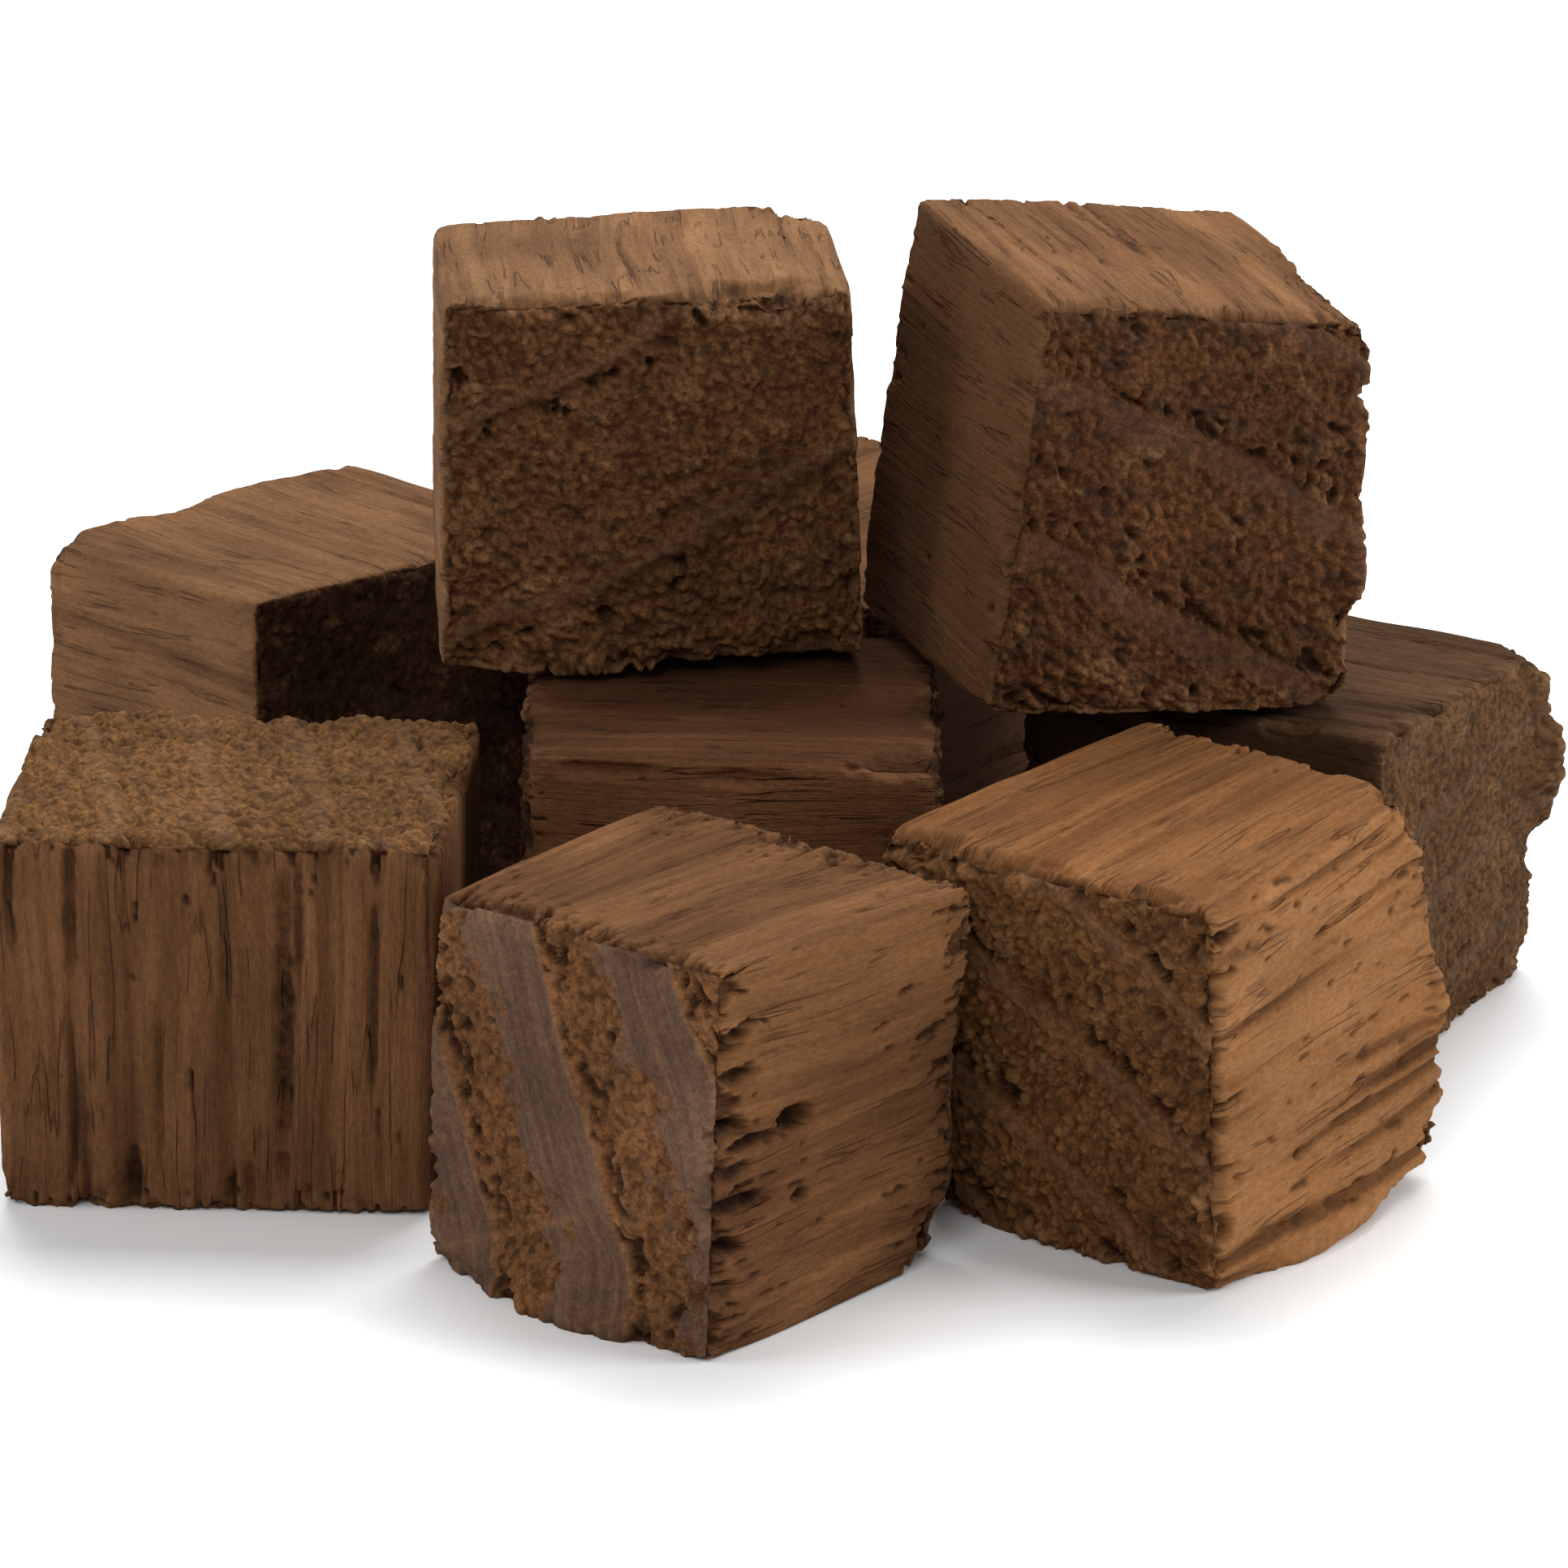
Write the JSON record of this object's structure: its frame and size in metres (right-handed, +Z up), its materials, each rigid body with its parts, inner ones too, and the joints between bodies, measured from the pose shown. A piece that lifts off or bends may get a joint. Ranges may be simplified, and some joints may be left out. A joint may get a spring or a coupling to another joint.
{
  "type": "toasted oak cube heap",
  "caption": "Low heap of loose toasted oak cubes with streaky side grain, rough pitted end grain and chipped edges, for flavouring drinks or smoking food.",
  "frame": {"origin": "on the table, under the middle of the heap's bounding box", "axes": "+Z up, +X to the right of the two front corner cubes, +Y from the front cube towards the back ones"},
  "size_m": [0.0486, 0.0515, 0.0259],
  "materials": {
    "oak_light_toast": "dry sawn, unfinished",
    "oak_medium_toast": "dry sawn, unfinished",
    "oak_dark_toast": "dry sawn, unfinished"
  },
  "bodies": {
    "center": {"center_cube": "oak_medium_toast"},
    "front_center": {"front_center_cube": "oak_medium_toast"},
    "front_left": {"front_left_cube": "oak_medium_toast"},
    "front_right": {"front_right_cube": "oak_light_toast"},
    "back_right": {"back_right_cube": "oak_dark_toast"},
    "back_left": {"back_left_cube": "oak_medium_toast"},
    "back_center": {"back_center_cube": "oak_medium_toast"},
    "top_left": {"top_left_cube": "oak_light_toast"},
    "top_right": {"top_right_cube": "oak_medium_toast"}
  },
  "joints": [
    {"name": "top_left_lift", "type": "slide", "parent": "center", "child": "top_left", "axis": [0, 0, 1], "range_m": [0, 0.016]},
    {"name": "top_right_lift", "type": "slide", "parent": "center", "child": "top_right", "axis": [0, 0, 1], "range_m": [0, 0.016]},
    {"name": "front_center_slide", "type": "slide", "parent": "center", "child": "front_center", "axis": [0, -1, 0], "range_m": [0, 0.016]},
    {"name": "front_left_slide", "type": "slide", "parent": "center", "child": "front_left", "axis": [-1, 0, 0], "range_m": [0, 0.016]},
    {"name": "front_right_slide", "type": "slide", "parent": "center", "child": "front_right", "axis": [0.7071, -0.7071, 0], "range_m": [0, 0.016]},
    {"name": "back_right_slide", "type": "slide", "parent": "center", "child": "back_right", "axis": [1, 0, 0], "range_m": [0, 0.016]},
    {"name": "back_left_slide", "type": "slide", "parent": "center", "child": "back_left", "axis": [-0.7071, 0.7071, 0], "range_m": [0, 0.016]},
    {"name": "back_center_slide", "type": "slide", "parent": "center", "child": "back_center", "axis": [0, 1, 0], "range_m": [0, 0.02]}
  ]
}
